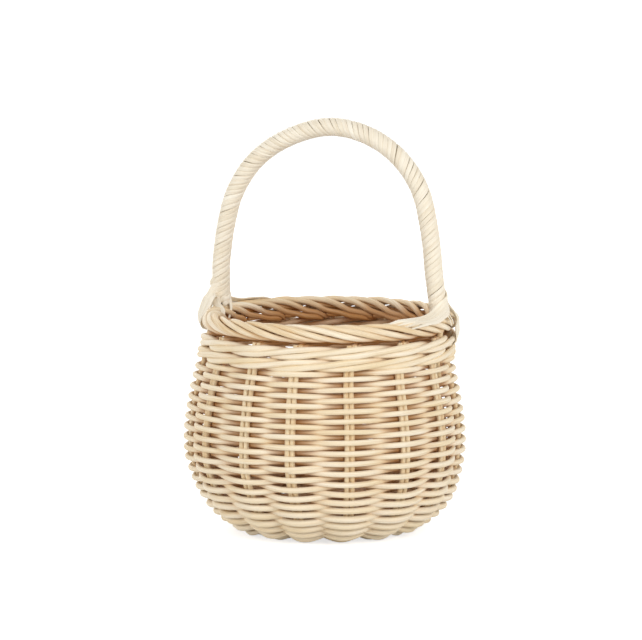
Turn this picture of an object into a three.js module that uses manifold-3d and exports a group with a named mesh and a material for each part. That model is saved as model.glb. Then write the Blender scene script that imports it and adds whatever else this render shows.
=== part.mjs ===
// A small round basket woven from rattan rods, with a fixed arched handle roped in flat cane.
// Millimetres, +Z up. The origin is the centre of the flat underside, and the handle arches over X.
import * as THREE from "three";
import { mergeVertices } from "three/addons/utils/BufferGeometryUtils.js";
import Module from "manifold-3d";

// Rods are 3 mm thick. Their solids are a little thinner, so that two that touch keep the clearance.
const ROD = 3;
const ROD_SIDES = 5;
const GAP = 0.3;
const STAKE_SOLID = 2.8;

// The stakes stand in pairs. Fifteen pairs, an odd number, let one rod weave in front of a pair on
// one round and behind it on the next.
const PAIRS = 15;
const FIRST_PAIR = -6;
const PAIR_SPREAD = 1.65;
const LONG_RODS = 8;
const CROSS_RODS = 7;
const CROSS_PITCH = 3.3;
const CROSS_HALF = 14;
const SPOKE_START = 26;

// The line that every stake follows, from the middle of the base to the top of the wall: radius, height
const STAKE_LINE = [
  [0, 6.6],
  [22, 6.1],
  [36, 4.9],
  [46, 4.7],
  [51, 6.4],
  [65, 18.4],
  [75.1, 40],
  [76.5, 58],
  [73.1, 82],
  [69.4, 100],
  [68.5, 115.5],
];

// Distances along that line where a stake rod bends, between the top of the wall and the cross
const STAKE_BENDS = [115, 98, 83, 70, 60, 52, 46, 38];

// Rows of weaving up the wall, made by rods that were joined end to end. The weaving rod's solid has
// this height up the wall and this depth through it, and its middle swings this far to either side of
// the stake line. It passes inside this pair at this distance below the wale.
const WALL_ROWS = 38;
const ROW_PITCH = 2.89;
const WEAVER_RODS = 6;
const WEAVER_HEIGHT = 2.4;
const WEAVER_DEPTH = 2.2;
const WEAVER_SWING = 3.4;
const INSIDE_PAIR = 13;
const INSIDE_BELOW_WALE = 3.3;

// The wale under the border, and the distances of its faces from the stake line
const WALE_ROUNDS = 2;
const WALE_ROWS = 2;
const WALE_PITCH = 3.4;
const FACE_OVER = 4.5;
const FACE_UNDER = 3.1;
const FACE_GROOVE = 2.9;
const FACE_INSIDE = 2.2;

const BASE_THICKNESS = 2.6;

// The rolled border is a rope of stake ends: the height of its centre, the strands in its section, the
// radii of their crests and of the grooves between, the turns of its lay in one round of the basket, and
// the angle of a crest where the round begins
const BORDER_HEIGHT = 121.5;
const BORDER_STRANDS = 6;
const BORDER_CREST = 5.7;
const BORDER_GROOVE = 4.2;
const BORDER_TURNS = 5;
const BORDER_PHASE = 52.5;
const BORDER_STEPS = 60;
const BORDER_HOLE_GAP = 0.35;

// The handle's bow over the border, from left to right: across, height. It was bent by hand and leans
// a little to the right. Its pointed ends run on down beside a stake.
const BOW_LINE = [
  [-68.3, 128],
  [-66.5, 150],
  [-63.4, 172],
  [-57, 193],
  [-43.8, 211.3],
  [-24, 224.4],
  [3, 231.8],
  [27.5, 227.3],
  [46.3, 215.3],
  [58.5, 198.5],
  [64.4, 176],
  [67.2, 152],
  [68.4, 130],
];
const BOW_RADIUS = 3.4;
const BOW_TIP_RADIUS = 1.5;
const BOW_TAPER_TOP = 128;
const BOW_TAPER_END = 114;
const BOW_DEPTH = 26;
const BOW_STEPS = 48;
const BOW_SIDES = 8;

// Flat cane wound round the bow, side by side, as a right-handed screw
const ROPING_STRANDS = 6;
const ROPING_LEAD = 19.5;
const ROPING_WIDTH = 2.1;
const ROPING_THICKNESS = 1;
const ROPING_RADIUS = 4.75;
const ROPING_STEPS = 8;
const ROPING_BOTTOM = 127.6;
const ROPING_EASE = 1;

// The tails of the cane at each foot. The outer one goes over the border's outer side, and the inner one
// the other way round the basket, along the border's top. A row of a route is how far past the foot it
// is in degrees, how far out from the border's centre line and how high above it, and then which way
// the tail faces: outwards, along and up.
const TAIL_WIDTH = 6;
const TAIL_THICKNESS = 1;
const OUTER_TAIL = [
  [5.3, -1, 16.5, 0, 1, 0],
  [6.5, 1.5, 11, 0.3, 0.9, 0.3],
  [8.5, 3.6, 7.4, 0.5, 0.5, 0.7],
  [12, 5.6, 3.9, 0.8, 0.15, 0.55],
  [16, 6.9, 0, 1, 0, 0],
  [19, 5.2, -4.5, 0.75, 0, -0.66],
];
const INNER_TAIL = [
  [-5.3, -1, 14.5, 0, -1, 0],
  [-7, -1.6, 10, -0.2, -0.8, 0.55],
  [-11, -0.8, 7.3, -0.1, -0.35, 0.93],
  [-16, 0, 6.9, 0, 0, 1],
  [-23, 0.3, 6.9, 0, 0, 1],
];

// The corners of a flat section: half widths and half thicknesses from its middle
const FLAT_CORNERS = [
  [-1, -1],
  [1, -1],
  [1, 1],
  [-1, 1],
];

const FULL_TURN = 2 * Math.PI;
const RATTAN = { color: 0xe3cfa4, roughness: 0.62, metalness: 0 };
const STAKE_RATTAN = { color: 0xd6b987, roughness: 0.65, metalness: 0 };
const BORDER_RATTAN = { color: 0xd3b27c, roughness: 0.6, metalness: 0 };
const BOW_CANE = { color: 0xc39a63, roughness: 0.55, metalness: 0 };
const FLAT_CANE = { color: 0xf0e6d0, roughness: 0.5, metalness: 0 };

const wasm = await Module();
wasm.setup();

const basket = new THREE.Group();

function addPiece(name, geometry, finish) {
  const mesh = new THREE.Mesh(geometry, new THREE.MeshStandardMaterial(finish));
  mesh.name = name;
  basket.add(mesh);
}

function radians(degrees) {
  return (degrees * Math.PI) / 180;
}

function polar(radius, angle, height) {
  return new THREE.Vector3(radius * Math.cos(angle), radius * Math.sin(angle), height);
}

// Joins rings of points, all with the same count, into one closed surface. The last ring meets the
// first one where the piece runs full circle, and otherwise both ends are capped.
function skin(rings, fullCircle) {
  const sides = rings[0].length;
  const points = rings.flat();
  const triangles = [];
  const spans = fullCircle ? rings.length : rings.length - 1;
  for (let i = 0; i < spans; i++) {
    const here = i * sides;
    const next = ((i + 1) % rings.length) * sides;
    for (let j = 0; j < sides; j++) {
      const k = (j + 1) % sides;
      triangles.push(here + j, here + k, next + k, here + j, next + k, next + j);
    }
  }
  if (!fullCircle) {
    const last = (rings.length - 1) * sides;
    for (let j = 1; j < sides - 1; j++) {
      triangles.push(0, j + 1, j, last, last + j, last + j + 1);
    }
  }
  let volume = 0;
  for (let t = 0; t < triangles.length; t += 3) {
    const [a, b, c] = triangles.slice(t, t + 3).map((n) => points[n]);
    volume += a.dot(b.clone().cross(c));
  }
  if (volume < 0) {
    triangles.reverse();
  }
  const geometry = new THREE.BufferGeometry().setFromPoints(points);
  geometry.setIndex(triangles);
  geometry.computeVertexNormals();
  return geometry;
}

function ringCentre(ring) {
  const sum = new THREE.Vector3();
  ring.forEach((point) => sum.add(point));
  return sum.divideScalar(ring.length);
}

// The least distance between places on one winding that lie so many rings or more apart, less its
// thickness. The places are the middles of its rings and half way between them.
function leastOwnGap(rings, ringsApart, thickness) {
  const places = [];
  rings.map(ringCentre).forEach((centre, i, centres) => {
    places.push(centre);
    if (i + 1 < centres.length) {
      places.push(centre.clone().lerp(centres[i + 1], 1 / 2));
    }
  });
  let least = Infinity;
  for (let i = 0; i < places.length; i++) {
    for (let j = i + Math.ceil(2 * ringsApart); j < places.length; j++) {
      least = Math.min(least, places[i].distanceTo(places[j]) - thickness);
    }
  }
  return least;
}

function solidOf(geometry) {
  const bare = geometry.clone();
  bare.deleteAttribute("normal");
  bare.deleteAttribute("uv");
  const merged = mergeVertices(bare);
  return new wasm.Manifold(
    new wasm.Mesh({
      numProp: 3,
      vertProperties: new Float32Array(merged.attributes.position.array),
      triVerts: new Uint32Array(merged.index.array),
    }),
  );
}

function geometryOf(solid) {
  const { vertProperties, triVerts } = solid.getMesh();
  const geometry = new THREE.BufferGeometry();
  geometry.setAttribute("position", new THREE.BufferAttribute(vertProperties, 3));
  geometry.setIndex(new THREE.BufferAttribute(triVerts, 1));
  geometry.computeVertexNormals();
  return geometry;
}

// The stake line, and its outward side: below the base and outside the wall
const stakeLine = new THREE.CatmullRomCurve3(STAKE_LINE.map(([r, z]) => new THREE.Vector3(r, 0, z)));
stakeLine.arcLengthDivisions = 600;
const stakeLength = stakeLine.getLength();

function stakeUpward(distance) {
  const along = stakeLine.getTangentAt(distance / stakeLength);
  return { r: along.x, z: along.z };
}

function stakeOutward(distance) {
  const upward = stakeUpward(distance);
  return { r: upward.z, z: -upward.r };
}

function besideStakeLine(distance, offset) {
  const point = stakeLine.getPointAt(distance / stakeLength);
  const outward = stakeOutward(distance);
  return { r: point.x + offset * outward.r, z: point.z + offset * outward.z };
}

function pairAngle(pair) {
  return radians(FIRST_PAIR) + (pair * FULL_TURN) / PAIRS;
}

const waleStart = stakeLength - WALE_ROUNDS * WALE_ROWS * WALE_PITCH;
const wallStart = waleStart - WALL_ROWS * ROW_PITCH;

// A ring of points round the middle of a rod, in the plane of two directions at right angles
function rodRing(centre, outward, depth, across, width) {
  const ring = [];
  for (let j = 0; j < ROD_SIDES; j++) {
    const turn = (j * FULL_TURN) / ROD_SIDES;
    const point = centre.clone().addScaledVector(outward, (Math.cos(turn) * depth) / 2);
    ring.push(point.addScaledVector(across, (Math.sin(turn) * width) / 2));
  }
  return ring;
}

// The weaving is one spiral round the stakes. A place on it is its column, which counts the pairs
// that it has passed and goes up the wall by one row a round.
const columnRise = ROW_PITCH / PAIRS;

function spiralDistance(column) {
  return waleStart - INSIDE_BELOW_WALE + (column - INSIDE_PAIR) * columnRise;
}

// How many columns a length takes up at that place on the spiral
function columnsIn(length, column) {
  const { r } = besideStakeLine(spiralDistance(column), 0);
  return length / ((r * FULL_TURN) / PAIRS);
}

function spiralRing(column, offset) {
  const distance = spiralDistance(column);
  const { r, z } = besideStakeLine(distance, offset);
  const angle = pairAngle(column);
  const outward = stakeOutward(distance);
  const upward = stakeUpward(distance);
  const out = polar(outward.r, angle, outward.z);
  const up = polar(upward.r, angle, upward.z);
  return rodRing(polar(r, angle, z), out, WEAVER_DEPTH, up, WEAVER_HEIGHT);
}

// The place in columns of the bow's end beside this pair, counted from the pair: 0 if there is none. The
// right end stands just past a pair, the left end just before one, and the rods go round both together.
function bowBeside(column) {
  if (spiralDistance(column) < stakeLength - BOW_DEPTH - ROD) {
    return 0;
  }
  const halfRound = PAIRS / 2;
  const rightEnd = -radians(FIRST_PAIR) / (FULL_TURN / PAIRS);
  for (const end of [rightEnd, rightEnd + halfRound]) {
    const past = THREE.MathUtils.euclideanModulo(end - column + halfRound, PAIRS) - halfRound;
    if (Math.abs(past) < 1 / 2) {
      return past;
    }
  }
  return 0;
}

// One rod of the spiral, from the inner side of its first pair to the inner side of its last. It goes
// straight from each pair to the next, inside one and outside the other. Its ends run straight for a
// rod's thickness.
function weaverRod(first, last) {
  const rings = [];
  for (let column = first; column <= last; column++) {
    const offset = (column - INSIDE_PAIR) % 2 ? WEAVER_SWING : -WEAVER_SWING;
    const end = columnsIn(GAP / 2, column);
    const straight = columnsIn(GAP / 2 + ROD, column);
    const past = bowBeside(column);
    const clear = past + Math.sign(past) * columnsIn(BOW_TIP_RADIUS + WEAVER_DEPTH / 2, column);
    if (column === first) {
      rings.push(spiralRing(column + end, offset), spiralRing(column + straight, offset));
    } else if (column === last) {
      rings.push(spiralRing(column - straight, offset), spiralRing(column - end, offset));
    } else if (past > 0) {
      rings.push(spiralRing(column, offset), spiralRing(column + clear, offset));
    } else if (past < 0) {
      rings.push(spiralRing(column + clear, offset), spiralRing(column, offset));
    } else {
      rings.push(spiralRing(column, offset));
    }
  }
  return rings;
}

function addWall() {
  const columnsPerRod = 2 * Math.floor(((WALL_ROWS - 1) * PAIRS) / (2 * WEAVER_RODS));
  const columnsLeft = Math.floor((INSIDE_BELOW_WALE - ROW_PITCH / 2) / columnRise);
  const lastColumn = INSIDE_PAIR + 2 * Math.floor(columnsLeft / 2);
  for (let rod = 1; rod <= WEAVER_RODS; rod++) {
    const last = lastColumn - (WEAVER_RODS - rod) * columnsPerRod;
    const rings = weaverRod(last - columnsPerRod, last);
    const ownGap = leastOwnGap(rings, PAIRS / 2, WEAVER_HEIGHT);
    console.log("weaver " + rod + ": least gap to itself " + ownGap.toFixed(2) + " mm");
    addPiece("weaver_" + rod, skin(rings, false), RATTAN);
  }
}

// A round of waling is one ring outside the stakes, two rows high. Its outer face swells where a rod
// passes in front of a pair and falls back where it passes behind.
function waleBand(start, end, faceAt) {
  const levels = 2 * WALE_ROWS;
  const rings = [];
  for (let step = 0; step < 2 * PAIRS; step++) {
    const angle = radians(FIRST_PAIR) + (step * FULL_TURN) / (2 * PAIRS);
    const ring = [];
    for (let level = 0; level <= levels; level++) {
      const distance = THREE.MathUtils.lerp(start, end, level / levels);
      const face = level % 2 ? faceAt(step, (level - 1) / 2) : FACE_GROOVE;
      const { r, z } = besideStakeLine(distance, face);
      ring.push(polar(r, angle, z));
    }
    for (const distance of [end, start]) {
      const { r, z } = besideStakeLine(distance, FACE_INSIDE);
      ring.push(polar(r, angle, z));
    }
    rings.push(ring);
  }
  return skin(rings, true);
}

// Each round of waling passes outside two pairs and behind the third
function addWale() {
  const roundHeight = WALE_ROWS * WALE_PITCH;
  for (let round = 0; round < WALE_ROUNDS; round++) {
    const faceAt = (step, row) => ((Math.ceil(step / 2) + round + row) % 3 ? FACE_OVER : FACE_UNDER);
    const start = waleStart + round * roundHeight;
    addPiece("wale_round_" + (round + 1), waleBand(start, start + roundHeight - GAP, faceAt), RATTAN);
  }
}

function addBase() {
  const radius = besideStakeLine(wallStart, FACE_INSIDE).r - 2 * GAP;
  const profile = [
    new THREE.Vector2(0, 0),
    new THREE.Vector2(radius, 0),
    new THREE.Vector2(radius, BASE_THICKNESS),
    new THREE.Vector2(0, BASE_THICKNESS),
  ];
  const disc = new THREE.LatheGeometry(profile, 2 * PAIRS);
  disc.rotateX(Math.PI / 2);
  addPiece("base_weaving", disc, RATTAN);
}

// One end of a rod, from the top of the wall down to where the spokes leave the cross. The ends are
// counted round the base, and two neighbours make a pair.
function rodEndRings(end, turned) {
  const angle = pairAngle(Math.floor(end / 2));
  const side = end % 2 ? PAIR_SPREAD : -PAIR_SPREAD;
  const lateral = new THREE.Vector3(-Math.sin(angle), Math.cos(angle), 0);
  const distances = [stakeLength - GAP, waleStart, ...STAKE_BENDS, SPOKE_START];
  return distances.map((distance) => {
    const { r, z } = besideStakeLine(distance, 0);
    const outward = stakeOutward(distance);
    const centre = polar(r, angle, z).addScaledVector(lateral, side);
    const across = lateral.clone().multiplyScalar(turned);
    return stakeRing(centre, polar(outward.r, angle, outward.z), across);
  });
}

function stakeRing(centre, outward, across) {
  return rodRing(centre, outward, STAKE_SOLID, across, STAKE_SOLID);
}

// The long rods of the cross point to the middle of the pairs that they run into
const longRodAngle = pairAngle((LONG_RODS / 2 - 1) / 2);
const crossRodAngle = longRodAngle + Math.PI / 2;

// A stake rod runs down one side, straight across the base at that angle and height, and up the other side
function stakeRod(firstEnd, lastEnd, angle, aside, height) {
  const direction = polar(1, angle, 0);
  const across = polar(1, angle + Math.PI / 2, 0);
  const below = new THREE.Vector3(0, 0, -1);
  const middle = [CROSS_HALF, -CROSS_HALF].map((along) => {
    const centre = new THREE.Vector3(0, 0, height);
    centre.addScaledVector(direction, along).addScaledVector(across, aside);
    return stakeRing(centre, below, across);
  });
  const first = rodEndRings(firstEnd, 1);
  const last = rodEndRings(lastEnd, -1).reverse();
  return skin([...first, ...middle, ...last], false);
}

// The ends are counted on round the base: the long rods' first ends, the cross rods' first ends, and
// then their far ends in the same order of place
function addStakes() {
  const middleHeight = STAKE_LINE[0][1];
  const layer = ROD / 2 + GAP / 2;
  for (let rod = 0; rod < LONG_RODS; rod++) {
    const aside = (rod - (LONG_RODS - 1) / 2) * CROSS_PITCH;
    const lastEnd = 2 * LONG_RODS + CROSS_RODS - 1 - rod;
    const geometry = stakeRod(rod, lastEnd, longRodAngle, aside, middleHeight + layer);
    addPiece("stake_rod_" + (rod + 1), geometry, STAKE_RATTAN);
  }
  for (let rod = 0; rod < CROSS_RODS; rod++) {
    const aside = (rod - (CROSS_RODS - 1) / 2) * CROSS_PITCH;
    const firstEnd = LONG_RODS + rod;
    const lastEnd = 2 * (LONG_RODS + CROSS_RODS) - 1 - rod;
    const geometry = stakeRod(firstEnd, lastEnd, crossRodAngle, aside, middleHeight - layer);
    addPiece("stake_rod_" + (LONG_RODS + rod + 1), geometry, STAKE_RATTAN);
  }
}

// The bow's centre line, from the end beside the left stakes over the top to the right one
function bowPoints() {
  const leg = [BOW_DEPTH, BOW_DEPTH / 2, 0].map((depth) => besideStakeLine(stakeLength - depth, 0));
  const points = leg.map(({ r, z }) => new THREE.Vector3(-r, 0, z));
  BOW_LINE.forEach(([x, z]) => points.push(new THREE.Vector3(x, 0, z)));
  leg.reverse().forEach(({ r, z }) => points.push(new THREE.Vector3(r, 0, z)));
  return points;
}

const bow = new THREE.CatmullRomCurve3(bowPoints());
bow.arcLengthDivisions = 1200;
const bowLength = bow.getLength();

// Place on the bow: its centre, its direction, the side away from the basket, and the third axis
function bowFrame(distance) {
  const centre = bow.getPointAt(distance / bowLength);
  const along = bow.getTangentAt(distance / bowLength);
  const outward = new THREE.Vector3(-along.z, 0, along.x);
  const side = along.clone().cross(outward);
  return { centre, along, outward, side };
}

function bowRadiusAt(height) {
  const share = (height - BOW_TAPER_END) / (BOW_TAPER_TOP - BOW_TAPER_END);
  return THREE.MathUtils.lerp(BOW_TIP_RADIUS, BOW_RADIUS, THREE.MathUtils.clamp(share, 0, 1));
}

function bowGeometry(clearance) {
  const rings = [];
  for (let step = 0; step <= BOW_STEPS; step++) {
    const { centre, outward, side } = bowFrame((step * bowLength) / BOW_STEPS);
    const radius = bowRadiusAt(centre.z) + clearance;
    const ring = [];
    for (let j = 0; j < BOW_SIDES; j++) {
      const turn = (j * FULL_TURN) / BOW_SIDES;
      const point = centre.clone().addScaledVector(outward, radius * Math.cos(turn));
      ring.push(point.addScaledVector(side, radius * Math.sin(turn)));
    }
    rings.push(ring);
  }
  return skin(rings, false);
}

// The border is the stakes' own ends, rolled over each other like a rope. The bow goes down through it.
function addBorder() {
  const ringRadius = STAKE_LINE[STAKE_LINE.length - 1][0];
  const sides = 2 * BORDER_STRANDS;
  const rings = [];
  for (let step = 0; step < BORDER_STEPS; step++) {
    const angle = (step * FULL_TURN) / BORDER_STEPS;
    const ring = [];
    for (let j = 0; j < sides; j++) {
      const turn = radians(BORDER_PHASE) + (j * FULL_TURN) / sides - BORDER_TURNS * angle;
      const radius = j % 2 ? BORDER_GROOVE : BORDER_CREST;
      const out = ringRadius + radius * Math.cos(turn);
      ring.push(polar(out, angle, BORDER_HEIGHT + radius * Math.sin(turn)));
    }
    rings.push(ring);
  }
  const holes = solidOf(bowGeometry(BORDER_HOLE_GAP));
  const border = solidOf(skin(rings, true)).subtract(holes);
  addPiece("border", geometryOf(border), BORDER_RATTAN);
}

// How far along the bow a height is reached on the way up from one of its ends
function distanceAtHeight(height, end) {
  const closeEnough = 0.01;
  let low = end;
  let high = bowLength / 2;
  while (Math.abs(high - low) > closeEnough) {
    const middle = (low + high) / 2;
    if (bowFrame(middle).centre.z < height) {
      low = middle;
    } else {
      high = middle;
    }
  }
  return low;
}

// A flat section of cane on the bow: turn is its place round the bow, and slope is how far its width
// has turned from across the bow to along it
function caneRing(distance, turn, slope) {
  const { centre, along, outward, side } = bowFrame(distance);
  const radial = outward.clone().multiplyScalar(Math.cos(turn)).addScaledVector(side, Math.sin(turn));
  const around = side.clone().multiplyScalar(Math.cos(turn)).addScaledVector(outward, -Math.sin(turn));
  const width = around.clone().multiplyScalar(-Math.sin(slope)).addScaledVector(along, Math.cos(slope));
  const middle = centre.clone().addScaledVector(radial, ROPING_RADIUS);
  return FLAT_CORNERS.map(([w, t]) =>
    middle
      .clone()
      .addScaledVector(width, (w * ROPING_WIDTH) / 2)
      .addScaledVector(radial, (t * ROPING_THICKNESS) / 2),
  );
}

function ropingStrand(strand) {
  const leftBottom = distanceAtHeight(ROPING_BOTTOM, 0);
  const rightBottom = distanceAtHeight(ROPING_BOTTOM, bowLength);
  const straight = ROPING_WIDTH + ROPING_EASE;
  const start = leftBottom + straight;
  const end = rightBottom - straight;
  const steps = Math.round(((end - start) / ROPING_LEAD) * ROPING_STEPS);
  const slope = Math.atan(ROPING_LEAD / (FULL_TURN * ROPING_RADIUS));
  const turnAt = (distance) => FULL_TURN * (strand / ROPING_STRANDS + (distance - start) / ROPING_LEAD);
  const rings = [];
  for (let step = 0; step <= steps; step++) {
    const distance = THREE.MathUtils.lerp(start, end, step / steps);
    rings.push(caneRing(distance, turnAt(distance), slope));
  }
  const ownGap = leastOwnGap(rings, ROPING_STEPS / 2, ROPING_WIDTH);
  // Both ends turn along the bow and run straight down to the border
  const upright = Math.PI / 2;
  rings.unshift(caneRing(start - ROPING_EASE, turnAt(start), upright));
  rings.unshift(caneRing(leftBottom, turnAt(start), upright));
  rings.push(caneRing(end + ROPING_EASE, turnAt(end), upright));
  rings.push(caneRing(rightBottom, turnAt(end), upright));
  console.log("roping strand " + (strand + 1) + ": least gap to itself " + ownGap.toFixed(2) + " mm");
  return skin(rings, false);
}

function addHandle() {
  addPiece("handle_bow", bowGeometry(0), BOW_CANE);
  for (let strand = 0; strand < ROPING_STRANDS; strand++) {
    addPiece("roping_strand_" + (strand + 1), ropingStrand(strand), FLAT_CANE);
  }
}

function tail(foot, route) {
  const ringRadius = STAKE_LINE[STAKE_LINE.length - 1][0];
  const centres = route.map(([past, out, up]) =>
    polar(ringRadius + out, foot + radians(past), BORDER_HEIGHT + up),
  );
  const rings = route.map(([past, , , outward, sideways, upward], i) => {
    const angle = foot + radians(past);
    const facing = polar(outward, angle, upward);
    facing.addScaledVector(polar(1, angle + Math.PI / 2, 0), sideways).normalize();
    const before = centres[Math.max(i - 1, 0)];
    const after = centres[Math.min(i + 1, centres.length - 1)];
    const width = facing.clone().cross(after.clone().sub(before)).normalize();
    return FLAT_CORNERS.map(([w, t]) =>
      centres[i]
        .clone()
        .addScaledVector(width, (w * TAIL_WIDTH) / 2)
        .addScaledVector(facing, (t * TAIL_THICKNESS) / 2),
    );
  });
  return skin(rings, false);
}

function addTails() {
  for (const [name, foot] of [["left", Math.PI], ["right", 0]]) {
    addPiece("cane_tail_" + name + "_outer", tail(foot, OUTER_TAIL), FLAT_CANE);
    addPiece("cane_tail_" + name + "_inner", tail(foot, INNER_TAIL), FLAT_CANE);
  }
}

addBase();
addStakes();
addWall();
addWale();
addBorder();
addHandle();
addTails();

export default basket;
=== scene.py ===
"""A small round basket woven from rattan rods, with a rolled border and an arched handle roped in
flat cane. Every rod is its own swept tube. Lengths are in millimetres until a mesh is made, and in
metres for the floor, the lamps and the camera. Angles are in degrees."""

import math

import bpy
import numpy as np
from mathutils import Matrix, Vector


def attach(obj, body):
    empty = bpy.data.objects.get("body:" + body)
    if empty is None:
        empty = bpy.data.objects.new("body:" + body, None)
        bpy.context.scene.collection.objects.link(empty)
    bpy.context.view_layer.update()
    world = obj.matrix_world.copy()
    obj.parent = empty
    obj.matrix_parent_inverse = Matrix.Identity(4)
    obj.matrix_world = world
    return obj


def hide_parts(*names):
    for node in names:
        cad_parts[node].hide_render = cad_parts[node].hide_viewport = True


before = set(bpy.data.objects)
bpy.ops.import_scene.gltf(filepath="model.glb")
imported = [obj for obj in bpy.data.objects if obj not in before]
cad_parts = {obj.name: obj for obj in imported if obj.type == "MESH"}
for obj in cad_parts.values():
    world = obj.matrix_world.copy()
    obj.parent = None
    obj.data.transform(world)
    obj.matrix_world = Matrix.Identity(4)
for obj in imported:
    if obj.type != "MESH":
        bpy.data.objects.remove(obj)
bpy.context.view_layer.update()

MM = 0.001
TINY = 1e-12
RNG = np.random.default_rng(7)

# The stakes: fifteen pairs, on one line of radius and height from the middle of the base
PAIRS = 15
FIRST_PAIR = -6.0
PAIR_STEP = 360.0 / PAIRS
PAIR_SPREAD = 1.52
STAKE_ROD = 3.0
STAKE_END_GAP = 0.3
STAKE_POINTS = 60
STAKE_TONES = (0.3, 0.8)
LONG_RODS = 8
CROSS_RODS = 7
CROSS_PITCH = 3.3
CROSS_HALF = 14.0
CROSS_LAYER = 1.65
SPOKE_START = 26.0
STAKE_LINE = [
    (0, 6.6), (22, 6.1), (36, 4.9), (46, 4.7), (51, 6.4), (65, 18.4),
    (75.1, 40), (76.5, 58), (73.1, 82), (69.4, 100), (68.5, 115.5),
]
# Hand weaving leaves the pairs a little off their even places, and these five are seen to be
UNEVEN_PAIRS = 0.9
SEEN_DRIFTS = {11: 0.7, 12: -1.8, 13: -0.6, 14: 1.0, 0: 0.9}

# The weaving. A rod's way round is counted in columns, one from each pair to the next. A tone, from 0
# to 1, says how pale a rod is as a whole.
ROD = 3.18
ROD_SIDES = 10
WEAVE_SWING = 3.0
WALL_ROWS = 38
ROW_PITCH = 2.89
WEAVER_RODS = 6
ROD_COLUMNS = 92
COLUMN_STEPS = 12
WEAVE_TONES = (0.3, 0.7)
WALE_ROUNDS = 2
WALE_PITCH = 3.4
WALE_ROD = 3.5
WALE_TONES = (0.1, 0.8)
# The spiral of the wall passes behind this pair at this distance below the wale
BEHIND_PAIR = 13
BEHIND_BELOW_WALE = 3.3
# The last rod ends at this column, and is two columns shorter than the others
WEAVE_LAST = 19
LAST_ROD_SHORT = 2
FIRST_COLUMN = WEAVE_LAST + LAST_ROD_SHORT - ROD_COLUMNS * WEAVER_RODS
# The top rows spread by this much to reach the wale, from five rows below the end, over four rows
WEAVE_LIFT = 0.45
LIFT_ROWS_BELOW = 5
LIFT_ROWS = 4
# A rod starts this many columns before its join and runs on as far past the next one, where its end is
# tucked in by this much, over so many columns
JOIN_OVERLAP = 0.35
JOIN_TUCK = 3.1
JOIN_REACH = 0.7
# The third rod from the bottom isn't tucked in. It ends past this column, where it is seen, and the next
# one starts before it. The two ends step apart, one up and one down, and are thinner.
FRAYED_ROD = 2
FRAYED_JOIN = -257.6
FRAYED_PAST = 0.15
FRAYED_BEFORE = 0.4
FRAYED_STEP = 0.9
FRAYED_THINNING = 0.15
# By the distance up the wall from its first row: how much further out and in the rods swing, and how
# much thicker they are
SWING_BY_HEIGHT = ([0, 7, 32, 46], [0.0, 0.55, 0.55, 0.0])
THICKNESS_BY_HEIGHT = ([0, 4, 9, 22, 30, 46], [0.05, 0.17, 0.27, 0.27, 0.15, 0.0])
# In the low rows a rod lies higher outside than inside, so that no gap runs straight through the wall,
# and at the back of the top rows it lies lower outside
TILT = 0.42
TILT_BY_HEIGHT = ([4, 9, 28, 38], [0, 1, 1, 0])
BACK_TILT_BY_HEIGHT = ([84, 89, 100, 105], [0, 0.67, 0.67, 0])
BACK_ANGLE = 115
# High up, one end of the bow stands in the first part of the way on from the early pair, and the other in
# the last part of the way on from the late pair
BOW_EARLY_PAIR = 0
BOW_LATE_PAIR = 7
BOW_SHARE = 0.32

# The wale: three rods, each in front of two pairs and behind the third, rising as they cross in front.
# How far out one is and how high, in pitches, at the half steps of a phase that repeats every three
# columns.
WALE_RODS = 3
WALE_OUT = np.array([3.1, 2.9, 3.1, 0, -3.1, 0])
WALE_UP = np.array([0.5, 1.0, 1.5, 1.55, 1.0, 0.45])
WALE_FIRST = 7.6
WALE_STAGGER = 0.1
WALE_OVERLAP = 0.25
# How far each round sags to lie on the weave, by the columns that are left to the weave's end
SAG_COLUMNS = [0, 0.7, 8, 10, 14.2, 15]
SAGS = ((0.48, 0.43, 1.52, 1.72, 2.1, 0.48), (0.4, 0.36, 1.4, 1.35, 0.6, 0.4))

# The rolled border, a rope of thirty stake ends: the rope turns this many degrees for each degree round
# the basket, and a strand faces outwards at this angle, and every twelve degrees from there. The stakes
# come up and the feet of the handle stand on a ring that is a little larger.
BORDER_RING = 67.7
FOOT_RING = 68.5
BORDER_HEIGHT = 121.5
BORDER_CORE = 3.62
BORDER_ROD = 3.3
BORDER_LAY = 5.0
BORDER_CREST = 10.5
BORDER_TONES = (0.1, 0.95)
STRAND_SHIFTS = (-0.9, 0.9)
CORE_CHANGES = (-0.1, 0.2)
# Counted from that angle, the first stake's end is the strand with this number, and so on. A strand is
# half way up the inner side so many degrees before it faces outwards. Its way is given by the degrees
# past this half way, the turn about the rope's centre line and the distance off it. First it climbs up
# inside.
FIRST_END_STRAND = 3
HALF_WAY_BEFORE = 32.0
CLIMB_LEAD = np.array([-6.0, -1.0, 4.0, 9.0])
CLIMB_TURN = np.array([-156.0, -183.0, -212.0, -242.0])
CLIMB_OFF = np.array([5.9, 5.1, 4.3, 3.75])
# Then it rolls over the top and down the outer side
HALF_WAY_TURN = -200.0
ROLL_LEAD = np.arange(14.0, 42.0, 3.0)
# Before the climb each end steps inwards through the gap above the wale and lies along the border's inner
# foot, the second end of a pair for longer and lower down. Here the degrees are those past the stake.
STEP_IN = ([0.0, 2.2, 4.2, 7.5], [-90.0, -94.0, -122.0, -140.0], [8.6, 7.2, 6.9, 6.4])
LONG_STEP_IN = (
    [0.0, 2.0, 4.0, 7.5, 12.0, 17.0],
    [-90.0, -94.0, -118.0, -130.0, -133.0, -140.0],
    [8.6, 7.6, 7.8, 8.2, 8.0, 6.9],
)
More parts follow.
